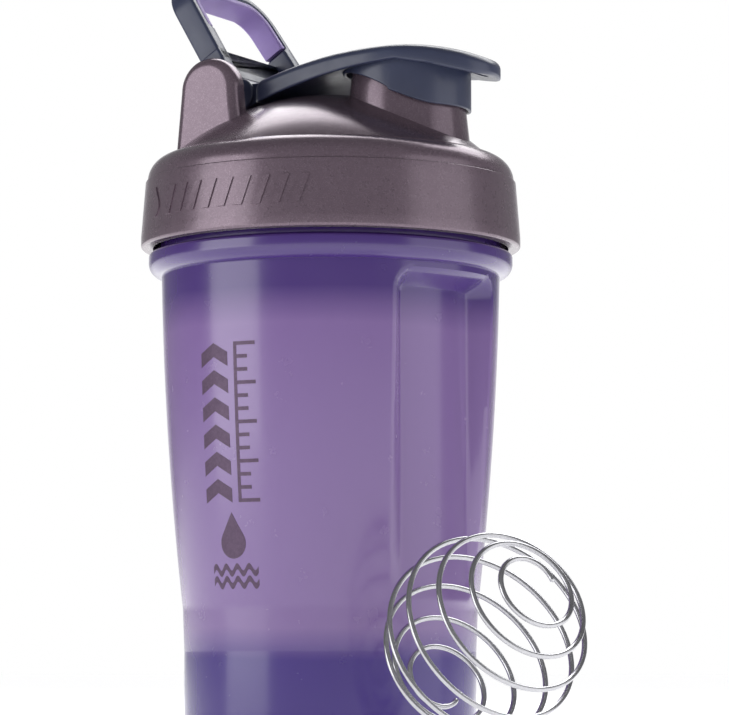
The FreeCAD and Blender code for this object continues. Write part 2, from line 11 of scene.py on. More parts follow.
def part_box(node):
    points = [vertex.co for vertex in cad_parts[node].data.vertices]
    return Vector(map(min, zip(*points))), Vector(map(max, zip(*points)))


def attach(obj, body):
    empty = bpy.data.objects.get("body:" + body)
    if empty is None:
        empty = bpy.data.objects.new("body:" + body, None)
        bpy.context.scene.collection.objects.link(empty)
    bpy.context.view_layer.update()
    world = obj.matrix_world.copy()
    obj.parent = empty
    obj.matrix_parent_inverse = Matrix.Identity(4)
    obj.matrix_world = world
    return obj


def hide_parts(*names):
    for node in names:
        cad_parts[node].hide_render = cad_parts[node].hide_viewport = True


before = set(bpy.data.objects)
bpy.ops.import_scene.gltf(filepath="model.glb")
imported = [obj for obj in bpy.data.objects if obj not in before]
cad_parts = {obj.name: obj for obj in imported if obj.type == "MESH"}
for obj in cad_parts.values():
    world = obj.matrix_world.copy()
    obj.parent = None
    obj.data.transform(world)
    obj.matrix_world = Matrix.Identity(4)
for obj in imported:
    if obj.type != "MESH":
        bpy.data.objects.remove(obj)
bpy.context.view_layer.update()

scene = bpy.context.scene
MM = 0.001


# ---------------------------------------------------------------- node helpers

class Shader:
    """A material and short calls that add and join its nodes."""

    def __init__(self, name):
        self.material = bpy.data.materials.new(name)
        self.material.use_nodes = True
        self.tree = self.material.node_tree
        self.bsdf = self.tree.nodes["Principled BSDF"]
        self.place = self.add("ShaderNodeTexCoord").outputs["Object"]

    def add(self, kind, **settings):
        node = self.tree.nodes.new(kind)
        for name, value in settings.items():
            setattr(node, name, value)
        return node

    def join(self, source, target):
        self.tree.links.new(source, target)

    def set(self, **values):
        """Constants on the shader's own sockets; an underscore in a name stands for a space."""
        for name, value in values.items():
            self.bsdf.inputs[name.replace("_", " ")].default_value = value

    def noise(self, scale, detail=3.0, roughness=0.5):
        """Noise over the object, scale in cells per metre."""
        texture = self.add("ShaderNodeTexNoise")
        texture.inputs["Scale"].default_value = scale
        texture.inputs["Detail"].default_value = detail
        texture.inputs["Roughness"].default_value = roughness
        self.join(self.place, texture.inputs["Vector"])
        return texture.outputs["Fac"]

    def ramp(self, source, *stops):
        """Colour ramp through (position, colour) stops."""
        node = self.add("ShaderNodeValToRGB")
        elements = node.color_ramp.elements
        while len(elements) < len(stops):
            elements.new(1.0)
        for element, (position, colour) in zip(elements, stops):
            element.position = position
            element.color = (*colour, 1)
        self.join(source, node.inputs["Fac"])
        return node.outputs["Color"]

    def levels(self, source, low, high, start=0.3, end=0.7):
        """The source's range start..end mapped to low..high; it starts as the middle of a noise."""
        node = self.add("ShaderNodeMapRange")
        for name, value in (("From Min", start), ("From Max", end), ("To Min", low), ("To Max", high)):
            node.inputs[name].default_value = value
        self.join(source, node.inputs["Value"])
        return node.outputs["Result"]

    def math(self, operation, *values):
        node = self.add("ShaderNodeMath", operation=operation)
        for socket, value in zip(node.inputs, values):
            if isinstance(value, (int, float)):
                socket.default_value = value
            else:
                self.join(value, socket)
        return node.outputs["Value"]

    def bump(self, height, distance):
        node = self.add("ShaderNodeBump")
        node.inputs["Distance"].default_value = distance
        node.inputs["Strength"].default_value = 1.0
        self.join(height, node.inputs["Height"])
        return node.outputs["Normal"]

    def wire(self, name, source):
        """Feed one of the shader's sockets."""
        self.join(source, self.bsdf.inputs[name.replace("_", " ")])


def linear(red, green, blue):
    """Linear colour of an sRGB one given in 0..255."""
    shares = [level / 255 for level in (red, green, blue)]
    return tuple(share / 12.92 if share <= 0.04 else ((share + 0.055) / 1.055) ** 2.4 for share in shares)


def tinted(colour, factor):
    return tuple(min(1.0, c * factor) for c in colour)


# ---------------------------------------------------------------- materials

def moulded(name, colour, roughness, grain_scale=2600, grain_height=0.00002):
    """Moulded plastic or rubber: a little colour variation, fine grain and uneven gloss."""
    shader = Shader(name)
    mottle = 0.08
    clouds = shader.noise(90, 4)
    grain = shader.noise(grain_scale, 2)
    dark, light = tinted(colour, 1 - mottle), tinted(colour, 1 + mottle)
    shader.wire("Base_Color", shader.ramp(clouds, (0.3, dark), (0.7, light)))
    rubbed = shader.noise(260, 5, 0.65)
    shader.wire("Roughness", shader.levels(rubbed, roughness * 0.85, roughness * 1.2))
    shader.wire("Normal", shader.bump(grain, grain_height))
    return shader


def cup_material():
    """Glossy purple, paler in the wall and deeper towards the bottom, with painted shade from the lid
    darkening the top of the wall, the collar and the neck.
    """
    shader = Shader("cup_plastic")
    split = shader.add("ShaderNodeSeparateXYZ")
    shader.join(shader.place, split.inputs["Vector"])
    waver, cup_height = 0.003, 0.14
    height = shader.math("ADD", split.outputs["Z"], shader.math("MULTIPLY", shader.noise(28, 2), waver))
    scaled = shader.math("MULTIPLY", height, 1 / cup_height)
    # neck is painted shade, not a colour of the plastic: the top of the wall, the collar and the neck are
    # darkened as if shadowed by the lid. deep makes the wall darker towards the bottom.
    wall, deep, neck = linear(127, 98, 158), linear(56, 26, 126), linear(66, 38, 116)
    shader.wire("Base_Color", shader.ramp(scaled, (0.14, deep), (0.195, wall), (0.72, wall), (0.785, neck)))
    shader.wire("Roughness", shader.levels(shader.noise(140, 5, 0.6), 0.22, 0.28))
    shader.set(IOR=1.5, Specular_IOR_Level=0.6, Coat_Weight=0.6, Coat_Roughness=0.14)
    return shader.material


def lid_material():
    """Mauve plastic with a very fine metal flake in it, a little rougher on the ring than on the dome."""
    shader = Shader("lid_plastic")
    flakes = shader.add("ShaderNodeTexVoronoi")
    flakes.inputs["Scale"].default_value = 7000
    shader.join(shader.place, flakes.inputs["Vector"])
    share = shader.add("ShaderNodeSeparateColor")
    shader.join(flakes.outputs["Color"], share.inputs["Color"])
    dark, middle, light = linear(108, 92, 104), linear(118, 101, 114), linear(142, 126, 138)
    shader.wire("Base_Color", shader.ramp(share.outputs["Red"], (0.0, dark), (0.8, middle), (1.0, light)))
    across = shader.add("ShaderNodeVectorMath", operation="LENGTH")
    flat = shader.add("ShaderNodeVectorMath", operation="MULTIPLY")
    flat.inputs[1].default_value = (1, 1, 0)
    shader.join(shader.place, flat.inputs[0])
    shader.join(flat.outputs["Vector"], across.inputs[0])
    dome_edge, ring_start = 0.0445, 0.0465
    ring = shader.levels(across.outputs["Value"], 0.22, 0.28, dome_edge, ring_start)
    uneven = shader.levels(shader.noise(420, 4, 0.6), -0.02, 0.03)
    shader.wire("Roughness", shader.math("ADD", ring, uneven))
    shader.wire("Normal", shader.bump(share.outputs["Green"], 0.0000025))
    shader.set(Metallic=0.5, Coat_Weight=0.3, Coat_Roughness=0.16)
    return shader.material


def ink_material():
    """Dark mauve print, worn a little thin."""
    shader = Shader("print_ink")
    worn = shader.noise(1100, 5, 0.7)
    shader.wire("Base_Color", shader.ramp(worn, (0.25, linear(92, 70, 96)), (0.75, linear(72, 50, 78))))
    shader.wire("Roughness", shader.levels(shader.noise(400, 3), 0.3, 0.42))
    shader.set(Metallic=0.25)
    return shader.material


def slate_material():
    shader = moulded("slate_plastic", linear(52, 58, 84), 0.36)
    shader.set(Coat_Weight=0.25, Coat_Roughness=0.2)
    return shader.material


def liner_material():
    return moulded("liner_rubber", linear(150, 128, 190), 0.5, 1800, 0.00003).material


def plug_material():
    return moulded("plug_rubber", linear(120, 100, 160), 0.55, 1800, 0.00003).material


def seal_material():
    shader = moulded("seal_silicone", linear(210, 206, 214), 0.45)
    shader.set(Subsurface_Weight=0.2)
    return shader.material


def steel_material(name, roughness):
    """Polished wire with fine drawing marks."""
    shader = Shader(name)
    marks = shader.noise(2200, 4, 0.7)
    steel = linear(206, 206, 210)
    shader.wire("Base_Color", shader.ramp(marks, (0.3, tinted(steel, 0.85)), (0.7, steel)))
    shader.wire("Roughness", shader.levels(shader.noise(900, 3), roughness * 0.7, roughness * 1.3))
    shader.set(Metallic=1.0)
    return shader.material


CUP, LID, SLATE, LINER = cup_material(), lid_material(), slate_material(), liner_material()
PLUG, SEAL, INK = plug_material(), seal_material(), ink_material()
PIN, WIRE = steel_material("pin_steel", 0.3), steel_material("wire_steel", 0.16)


def dress(node, material):
    """Give a CAD node its material in every slot."""
    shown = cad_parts[node]
    if not shown.material_slots:
        shown.data.materials.append(material)
    for slot in shown.material_slots:
        slot.material = material


for node, material in (("lid_seal", SEAL), ("hinge_pin", PIN), ("spout_plug", PLUG)):
    dress(node, material)


# ---------------------------------------------------------------- shapes

def smooth_share(value):
    """0 below 0, 1 above 1, with an S curve between."""
    value = min(1.0, max(0.0, value))
    return value * value * (3 - 2 * value)


def sloped_share(value, blend=0.16):
    """Straight slope from 0 to 1 with a short blend at both ends."""
    value = min(1.0, max(0.0, value))
    if value > 0.5:
        return 1 - sloped_share(1 - value, blend)
    steep = 1 / (1 - blend)
    return steep * value * value / (2 * blend) if value < blend else steep * (value - blend / 2)


def softened(points, closed=False, step=12.0):
    """Path through (x, y) or (x, y, radius) points with each radius as an arc tangent to both runs."""
    count = len(points)
    path = []
    for index, point in enumerate(points):
        here = Vector(point[:2])
        radius = point[2] if len(point) == 3 else 0.0
        if radius == 0 or (not closed and index in (0, count - 1)):
            path.append(tuple(here))
            continue
        before = Vector(points[index - 1][:2]) - here
        after = Vector(points[(index + 1) % count][:2]) - here
        turn = math.pi - before.angle(after)
        reach = radius * math.tan(turn / 2)
        start, end = here + before.normalized() * reach, here + after.normalized() * reach
        inwards = (before.normalized() + after.normalized()).normalized()
        middle = here + inwards * (radius / math.cos(turn / 2))
        steps = max(2, round(math.degrees(turn) / step))
        first, last = start - middle, end - middle
        for part in range(steps + 1):
            share = part / steps
            weight = math.sin((1 - share) * turn), math.sin(share * turn)
            path.append(tuple(middle + (first * weight[0] + last * weight[1]) / math.sin(turn)))
    return path


def bowed(start, end, radius, steps):
    """Arc from start to end that bulges to the right of the way; both ends are in the list."""
    start, end = Vector(start), Vector(end)
    chord = end - start
    half = chord.length / 2
    right = Vector((chord.y, -chord.x)).normalized()
    centre = (start + end) / 2 - right * math.sqrt(radius * radius - half * half)
    opening = 2 * math.asin(half / radius)
    first, last = start - centre, end - centre
    path = []
    for part in range(steps + 1):
        share = part / steps
        weight = math.sin((1 - share) * opening), math.sin(share * opening)
        path.append(tuple(centre + (first * weight[0] + last * weight[1]) / math.sin(opening)))
    return path


def divided(path, longest):
    """The path with its long runs cut into pieces no longer than the given length."""
    fine = [path[0]]
    for start, end in zip(path, path[1:]):
        run = math.dist(start, end)
        pieces = max(1, math.ceil(run / longest))
        for part in range(1, pieces + 1):
            share = part / pieces
            fine.append((start[0] + (end[0] - start[0]) * share, start[1] + (end[1] - start[1]) * share))
    return fine


def shrunk(outline, distance):
    """Closed outline moved inwards; its points run anticlockwise."""
    if distance == 0:
        return outline
    moved = []
    for index, point in enumerate(outline):
        before = Vector(point) - Vector(outline[index - 1])
        after = Vector(outline[(index + 1) % len(outline)]) - Vector(point)
        inwards = Vector((-before.y, before.x)).normalized() + Vector((-after.y, after.x)).normalized()
        inwards = inwards.normalized() * distance / max(0.3, inwards.length / 2)
        moved.append((point[0] + inwards.x, point[1] + inwards.y))
    return moved


class Solid:
    """Vertices in millimetres and faces of one or more closed shells."""

    def __init__(self):
        self.vertices = []
        self.faces = []

    def grid(self, rows, close_rows=False, close_columns=False, caps=False):
        """Skin over rows of points; caps closes the first and last rows with one face each."""
        base = len(self.vertices)
        width = len(rows[0])
        for row in rows:
            self.vertices.extend(tuple(point) for point in row)
        for row in range(len(rows) if close_rows else len(rows) - 1):
            upper = (row + 1) % len(rows)
            for column in range(width if close_columns else width - 1):
                beside = (column + 1) % width
                self.faces.append((base + row * width + column, base + row * width + beside,
                                   base + upper * width + beside, base + upper * width + column))
        if caps:
            self.faces.append(tuple(base + column for column in reversed(range(width))))
            self.faces.append(tuple(base + (len(rows) - 1) * width + column for column in range(width)))
        return self

    def turned(self, *parts, segments=192, centre=(0, 0)):
        """Skin turned about a vertical axis through parts, each a profile or (profile, shape).

        A profile is a list of (radius, height); shape(radius, height, angle) gives a bent wall's radius.
        """
        rows = []
        for part in parts:
            profile, shape = part if isinstance(part, tuple) else (part, None)
            for radius, height in profile:
                row = []
                for column in range(segments):
                    angle = 2 * math.pi * column / segments
                    reach = shape(radius, height, angle) if shape else radius
                    x, y = centre[0] + reach * math.cos(angle), centre[1] + reach * math.sin(angle)
                    row.append((x, y, height))
                rows.append(row)
        return self.grid(rows, close_columns=True)

    def plate(self, outline, low, high, edges, place):
        """Closed outline extruded from low to high, each end with its own edge radius.

        place(u, v, w) turns a point of the outline and its height into a point of the model.
        """
        rows = []
        for end, inwards, edge in ((low, 1, edges[0]), (high, -1, edges[1])):
            levels = []
            for part in range(7):
                angle = math.pi / 2 * part / 6
                levels.append((edge * (1 - math.sin(angle)), end + inwards * edge * (1 - math.cos(angle))))
            for inset, level in levels[::inwards]:
                rows.append([place(u, v, level) for u, v in shrunk(outline, inset)])
        return self.grid(rows, close_columns=True, caps=True)

    def film(self, rows, wall, azimuth, under, over):
        """Thin closed skin on a round wall: rows of (arc length, height) points about an azimuth.

        wall(height) gives the wall's radius; the skin runs from under it to over it.
        """
        loops = []
        for row in rows:
            loop = []
            for lift, points in ((over, row), (-under, row[::-1])):
                for arc, height in points:
                    angle = azimuth + arc / wall(height)
                    radius = wall(height) + lift
                    loop.append((radius * math.cos(angle), radius * math.sin(angle), height))
            loops.append(loop)
        return self.grid(loops, close_columns=True, caps=True)

    def helix_ridge(self, wall, way, start, pitch, turns, section, fade=0.06):
        """Ridge wound on a wall: section of (depth, height) points, flattened towards both ends."""
        rows = []
        steps = round(turns * 120)
        for step in range(steps + 1):
            share = step / steps
            angle = 2 * math.pi * turns * share
            full = smooth_share(min(share, 1 - share) / fade)
            row = []
            for depth, height in section:
                radius = wall + way * (depth * full if depth > 0 else depth)
                rise = start + pitch * turns * share
                row.append((radius * math.cos(angle), radius * math.sin(angle), rise + height))
            rows.append(row)
        return self.grid(rows, close_columns=True, caps=True)

    def mesh(self, name):
        """Mesh in metres, with its doubled points and empty faces cleaned away while still in millimetres."""
        doubled, empty = 0.002, 0.001
        data = bpy.data.meshes.new(name)
        data.from_pydata(self.vertices, [], self.faces)
        form = bmesh.new()
        form.from_mesh(data)
        bmesh.ops.remove_doubles(form, verts=form.verts, dist=doubled)
        bmesh.ops.dissolve_degenerate(form, edges=form.edges, dist=empty)
        bmesh.ops.recalc_face_normals(form, faces=form.faces)
        bmesh.ops.scale(form, vec=(MM, MM, MM), verts=form.verts)
        form.to_mesh(data)
        form.free()
        return data


def scratch(name, solid):
    """Object of a solid that only serves in a boolean."""
    shape = bpy.data.objects.new(name, solid.mesh(name))
    scene.collection.objects.link(shape)
    return shape


def combined(base, *steps):
    """Base object joined with or cut by others, in order; the others are thrown away."""
    for operation, tool in steps:
        modifier = base.modifiers.new(operation.lower(), "BOOLEAN")
        modifier.operation = operation
        modifier.solver = "EXACT"
        modifier.object = tool
    bpy.context.view_layer.update()
    graph = bpy.context.evaluated_depsgraph_get()
    result = bpy.data.meshes.new_from_object(base.evaluated_get(graph), depsgraph=graph)
    for thing in [base] + [tool for _, tool in steps]:
        bpy.data.objects.remove(thing)
    return result


def piece(name, data, body, material, replaced=(), crease=32):
    """Show a mesh as a piece that rides on a body, smooth except at edges sharper than the crease."""
    data.shade_smooth()
    data.set_sharp_from_angle(angle=math.radians(crease))
    data.materials.clear()
    data.materials.append(material)
    shown = bpy.data.objects.new(name, data)
    scene.collection.objects.link(shown)
    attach(shown, body)
    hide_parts(*replaced)
    return shown


# ---------------------------------------------------------------- cup

BASE_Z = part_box("bottle_body")[0].z / MM
BRIM_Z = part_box("bottle_body")[1].z / MM
WALL = 1.7
PANEL_AZIMUTH = math.radians(-13.5)
PANEL_HALF = math.radians(25)
PANEL_LOW, PANEL_HIGH, PANEL_RADIUS = 31.8, 113.2, 36.95
PANEL_CORNER, PANEL_BEVEL = 5.5, 4.4
FLARE = ((37.15, 31.0), (42.9, 114.6), 880.0)
COLLAR_FOOT = (46.2, 117.8)
NECK_RADIUS, THREAD_LEAD = 43.2, 8.0


def panel_depth(radius, height, angle, margin):
    """How far inside the nearer grip panel's rim a point of the wall is, past a margin; negative outside."""
    turn = (angle - PANEL_AZIMUTH + math.pi / 2) % math.pi - math.pi / 2
    half_width, half_height = PANEL_HALF * radius, (PANEL_HIGH - PANEL_LOW) / 2
    aside = abs(turn) * radius - (half_width + margin - PANEL_CORNER)
    above = abs(height - (PANEL_HIGH + PANEL_LOW) / 2) - (half_height + margin - PANEL_CORNER)
    outside = math.hypot(max(aside, 0), max(above, 0))
    return PANEL_CORNER - outside - min(max(aside, above), 0)


def sunk(floor_radius, margin):
    """Shape function that presses both grip panels into a wall."""
    def shape(radius, height, angle):
        if radius <= floor_radius or height > PANEL_HIGH + 4:
            return radius
        share = sloped_share(panel_depth(radius, height, angle, margin) / PANEL_BEVEL)
        return radius + (floor_radius - radius) * share
    return shape


def thread_section():
    """Section of the thread's ridge as (depth, height), the same on cup and lid."""
    return softened([(-0.5, 0), (1.4, 0.7, 0.3), (1.4, 1.9, 0.3), (-0.5, 2.6)])


def make_cup():
    outside = softened([(0, BASE_Z), (34.4, BASE_Z, 2.2), (36.7, BASE_Z + 2.6, 1.2), (36.7, 20, 6), FLARE[0]])
    outside += bowed(*FLARE, 60)[1:]
    outside += bowed(FLARE[1], COLLAR_FOOT, 3.36, 8)[1:]
    outside += softened([COLLAR_FOOT, (COLLAR_FOOT[0], 120.5, 1.0), (NECK_RADIUS, 120.5, 0.5),
                         (NECK_RADIUS, BRIM_Z, 0.8), (41.2, BRIM_Z, 0.7), (41.2, 120)])[1:]
    (foot_radius, foot), (top_radius, top), bow = FLARE
    inside = bowed((foot_radius - WALL, foot), (top_radius - WALL, top), bow, 60)[::-1]
    inside += softened([(35, foot), (35, 16, 10), (30.5, 6.6, 12), (22, 4, 20), (0, 4)])[1:]
    cup = Solid()
    cup.turned((divided(outside, 1.0), sunk(PANEL_RADIUS, 0)),
               (divided(inside, 1.6), sunk(PANEL_RADIUS - WALL, WALL)), segments=400)
    cup.helix_ridge(NECK_RADIUS, 1, 127.5, THREAD_LEAD, 1.0, thread_section())
    piece("cup", cup.mesh("cup"), "cup", CUP, ["bottle_body"])


# ---------------------------------------------------------------- lid

DOME_CENTRE, DOME_RADIUS, LID_WALL = 101.6, 59.4, 2.2
RING_FOOT, RING_TOP = (48.2, 124.6), (47.1, 138.6)
ROOF_EDGE, SKIRT_BORE = (46.6, 138.75), 45.2
SPOUT_X = 22.2
HINGE = Vector((-20.2, 0, 162.0))


def dome_height(radius, drop=0.0):
    """Height of the dome at a radius, or of the surface a drop under it."""
    return DOME_CENTRE + math.sqrt((DOME_RADIUS - drop) ** 2 - radius ** 2)


def turned_at_hinge(profile, segments):
    """Solid turned about the hinge's line: a profile of (radius, along)."""
    turns = [2 * math.pi * step / segments for step in range(segments)]
    rows = [[(HINGE.x + radius * math.cos(turn), along, HINGE.z + radius * math.sin(turn)) for turn in turns]
            for radius, along in profile]
    return Solid().grid(rows, close_columns=True)


def lid_mesh():
    """Ring, dome, spout and lugs joined, then hollowed, bored and threaded."""
    edge, lip = 41.3, 39.4
    outside = softened([(0, 121.8), (RING_FOOT[0], 121.8, 0.8), (*RING_FOOT, 1.5), (*RING_TOP, 0.25),
                        ROOF_EDGE])
    outside += bowed(ROOF_EDGE, (42.4, 144.8), 6.2, 14)[1:]
    outside += bowed((edge, dome_height(edge)), (0, DOME_CENTRE + DOME_RADIUS), DOME_RADIUS, 48)
    lip_top, dome_inside = (lip, dome_height(lip, LID_WALL)), (0, dome_height(0, LID_WALL))
    inside = softened([(0, 116), (SKIRT_BORE, 116), (SKIRT_BORE, 142), (41, 142), (41, 136, 0.5),
                       (lip, 136, 0.5), lip_top])
    inside += bowed(lip_top, dome_inside, DOME_RADIUS - LID_WALL, 30)[1:]
    spout = softened([(0, 143), (16.3, 143), (13.8, 166.2, 0.9), (0, 166.2)])
    bore = softened([(0, 135), (12.6, 135), (11.62, 165.6, 0.5), (12.5, 166.5), (12.5, 168), (0, 168)])
    pin_hole = softened([(0, -26.4), (1.52, -26.4), (1.52, 32), (0, 32)])

    whole = scratch("lid_outside", Solid().turned(divided(outside, 3.0), segments=288))
    steps = [("UNION", scratch("spout", Solid().turned(spout, segments=144, centre=(SPOUT_X, 0))))]
    crown, crown_middle, lug_foot = 8.3, 160.8 - HINGE.z, 143 - HINGE.z
    outline = [(-10.0, lug_foot), (10.0, lug_foot)]
    outline += [(crown * math.cos(math.radians(turn)), crown_middle + crown * math.sin(math.radians(turn)))
                for turn in range(0, 181, 6)]
    for side in (-1, 1):
        lug = Solid()
        lug.plate(outline, 22.8, 27.8, (0.3, 2.6), lambda u, v, w: (HINGE.x + u, side * w, HINGE.z + v))
        steps.append(("UNION", scratch("lug", lug)))
    steps.append(("DIFFERENCE", scratch("lid_inside", Solid().turned(divided(inside, 4.0), segments=288))))
    steps.append(("DIFFERENCE", scratch("bore", Solid().turned(bore, segments=144, centre=(SPOUT_X, 0)))))
    steps.append(("DIFFERENCE", scratch("pin_hole", turned_at_hinge(pin_hole, 36))))
    thread = Solid().helix_ridge(SKIRT_BORE, -1, 124.3, THREAD_LEAD, 1.0, thread_section())
    steps.append(("UNION", scratch("ridge", thread)))
    return combined(whole, *steps)


def make_lid():
    piece("lid_shell", lid_mesh(), "lid", LID, ["lid"], crease=28)


# ---------------------------------------------------------------- flip cap

TOP_Z, CROWN = 171.6, 70.0
CROWN_AXIS = TOP_Z - CROWN
SKIRT_OUTER, SKIRT_INNER, SKIRT_TOP = 16.2, 15.35, 167.4


def arc_height(start, end, radius):
    """Height at x of the arc, bulging upwards, from start to end."""
    start, end = Vector(start), Vector(end)
    chord = end - start
    down = Vector((chord.y, -chord.x)).normalized()
    centre = (start + end) / 2 + down * math.sqrt(radius ** 2 - (chord.length / 2) ** 2)
    return lambda x: centre.y + math.sqrt(radius ** 2 - (x - centre.x) ** 2)


REAR_X, SUMMIT_X, UNDER_END = -13.4, 24.0, (28.0, 168.2)
BACK_TOP = arc_height((REAR_X, 165.4), (SUMMIT_X, TOP_Z), 120.5)
TAB_TOP = arc_height((SUMMIT_X, TOP_Z), (47.1, 166.3), 52.0)
UNDER = arc_height((REAR_X, 160.3), UNDER_END, 148.0)


def crowned(height, y):
    """Height at y of a surface that has the given height on the middle line."""
    return CROWN_AXIS + math.sqrt((height - CROWN_AXIS) ** 2 - y * y)


def cap_top(x, y):
    height = BACK_TOP(x) if x < SUMMIT_X else TAB_TOP(x)
    rear_slope = 164.2 + 0.65 * (x + 14.4)
    return crowned(min(height, rear_slope), y)


def cap_under(x, y):
    """Underside: arched over the arm, then two slopes down to the thumb tab's lip."""
    (under_end, under_height), front_start, front_height, lip_height = UNDER_END, 35.0, 166.4, 162.7
    if x < under_end:
        height = UNDER(x)
    elif x < front_start:
        height = under_height - (x - under_end) * 1.8 / 7.0
    else:
        height = max(lip_height, front_height - (x - front_start) * 3.7 / 10.1)
    return crowned(height, y)


def cap_slab():
    """Crowned arm, paddle and thumb tab: rings of the plan outline, shrinking towards the middle line."""
    widest, tab_corner = (20.0, -18.8), (43.0, -9.5)
    half = softened([(REAR_X, 0), (REAR_X, -17.0, 3.0), (3, -17.0, 20), (13, -18.8, 20), widest], step=6)[1:]
    half += bowed(widest, tab_corner, 36.0, 24)[1:]
    half += bowed(tab_corner, (43.0, 9.5), 13.0, 24)[1:13]
    half = divided(half, 0.9)
    outline = half + [(x, -y) for x, y in reversed(half) if y < -0.01]
    edge_top, edge_under = 1.5, 0.8
    top_insets = [edge_top * (1 - math.cos(math.pi / 2 * step / 6)) for step in range(7)]
    shares = [step / 12 for step in range(1, 13)]

    middle_start, middle_end = -8.0, 34.0

    def ring(inset, share, top):
        """Outline shrunk by the inset and drawn by a share to the middle line, on the top or under it."""
        row = []
        for x, y in shrunk(outline, inset):
            x += (min(max(x, middle_start), middle_end) - x) * share
            y *= 1 - share
            edge = edge_top if top else edge_under
            depth = edge - math.sqrt(max(0.0, edge ** 2 - max(0.0, edge - inset) ** 2))
            row.append((x, y, cap_top(x, y) - depth if top else cap_under(x, y) + depth))
        return row

    under_insets = [edge_under * (1 - math.cos(math.pi / 2 * step / 4)) for step in range(5)]
    rows = [ring(edge_under, share, False) for share in reversed(shares)]
    rows += [ring(inset, 0.0, False) for inset in reversed(under_insets)]
    rows += [ring(inset, 0.0, True) for inset in top_insets]
    rows += [ring(edge_top, share, True) for share in shares]
    return Solid().grid(rows, close_columns=True)


def cap_skirt():
    """Ring that closes round the spout, with a lower edge that sweeps down to the front."""
    rear_end, middle_end, rear_low, middle_low, front_drop = -12, 3, 164.8, 159.4, 4.1
    falling = arc_height((-middle_end, middle_low), (-rear_end, rear_low), 40.0)
    segments, rows = 180, []
    for column in range(segments):
        angle = 2 * math.pi * column / segments
        along = SKIRT_OUTER * math.cos(angle)
        if along < rear_end:
            low = rear_low
        elif along < middle_end:
            low = min(falling(-along), rear_low)
        else:
            low = middle_low - front_drop * smooth_share((along + 0.5) / 14.5)
        section = softened([(SKIRT_OUTER, SKIRT_TOP), (SKIRT_OUTER, low, 0.35), (SKIRT_INNER, low, 0.35),
                            (SKIRT_INNER, SKIRT_TOP)])
        rows.append([(SPOUT_X + radius * math.cos(angle), radius * math.sin(angle), height)
                     for radius, height in section])
    return Solid().grid(rows, close_rows=True, close_columns=True)


def barrel(half, radius, edge):
    """Round bar along Y at the hinge, its ends rounded by the edge radius."""
    profile = softened([(0, -half), (radius, -half, edge), (radius, half, edge), (0, half)])
    return turned_at_hinge(profile, 72)


def cap_mesh():
    """Slab with the thumb's hollow, the skirt, the knuckle and the neck between them."""
    thumb, thumb_x, thumb_z = 7.9, 37.3, 160
    hollow = [(thumb * math.cos(math.radians(turn)), thumb_z + thumb * math.sin(math.radians(turn)))
              for turn in range(-90, 91, 6)]
    steps = [("DIFFERENCE", scratch("hollow", Solid().turned(hollow, segments=72, centre=(thumb_x, 0))))]
    steps.append(("UNION", scratch("skirt", cap_skirt())))
    bore = [(0, 150), (SKIRT_INNER, 150), (SKIRT_INNER, SKIRT_TOP), (0, SKIRT_TOP)]
    steps.append(("DIFFERENCE", scratch("cap_bore", Solid().turned(bore, segments=180, centre=(SPOUT_X, 0)))))
    steps.append(("UNION", scratch("knuckle", barrel(12.0, 4.1, 0.6))))
    neck = softened([(0, -4.1), (8.8, -0.9), (8.8, 2.6), (0, 2.6)])
    link = Solid().plate(neck, -11.0, 11.0, (0.4, 0.4), lambda u, v, w: (HINGE.x + u, w, HINGE.z + v))
    steps.append(("UNION", scratch("neck", link)))
    steps.append(("DIFFERENCE", scratch("knuckle_bore", barrel(20.0, 1.58, 0))))
    return combined(scratch("slab", cap_slab()), *steps)


def make_cap():
    piece("flip_cap_shell", cap_mesh(), "cap", SLATE, ["flip_cap"], crease=30)


# ---------------------------------------------------------------- carry loop

LEAN = Matrix.Rotation(math.radians(-32.8), 3, "Y")
FORWARD, STRAP_HALF = 2.4, 3.2
EAR_RADIUS, EAR_TOP = 4.2, 9.0
LINER_FOOT, LEG_DEPTH, BAND_DEPTH = 16.2, 4.4, 2.5


def from_pin(forward, across, up):
    """Point of the leaning loop, from forward, across and up of the pin."""
    return HINGE + LEAN @ Vector((forward, across, up))


def loop_path():
    """Outer line of the loop as (across, up) with the direction out of it."""
    arch = softened([(22.3, 6.0), (20.1, 33.4, 10.0), (-20.1, 33.4, 10.0), (-22.3, 6.0)], step=5)
    line = divided(arch, 1.2)
    path = []
    for index, point in enumerate(line):
        along = Vector(line[min(index + 1, len(line) - 1)]) - Vector(line[max(index - 1, 0)])
        path.append((Vector(point), Vector((along.y, -along.x)).normalized()))
    return path


def strap(solid, path, outer, thickness, half_width, edge):
    """Rounded strap that follows the path, from a depth under it; thickness(up) may change along it."""
    rows = []
    for point, out in path:
        depth = outer + thickness(point.y)
        section = softened([(-half_width, -outer, edge), (half_width, -outer, edge),
                            (half_width, -depth, edge), (-half_width, -depth, edge)], closed=True, step=22)
        row = []
        for side, away in section:
            spot = point + out * away
            row.append(from_pin(FORWARD + side, spot.x, spot.y))
        rows.append(row)
    return solid.grid(rows, close_columns=True, caps=True)


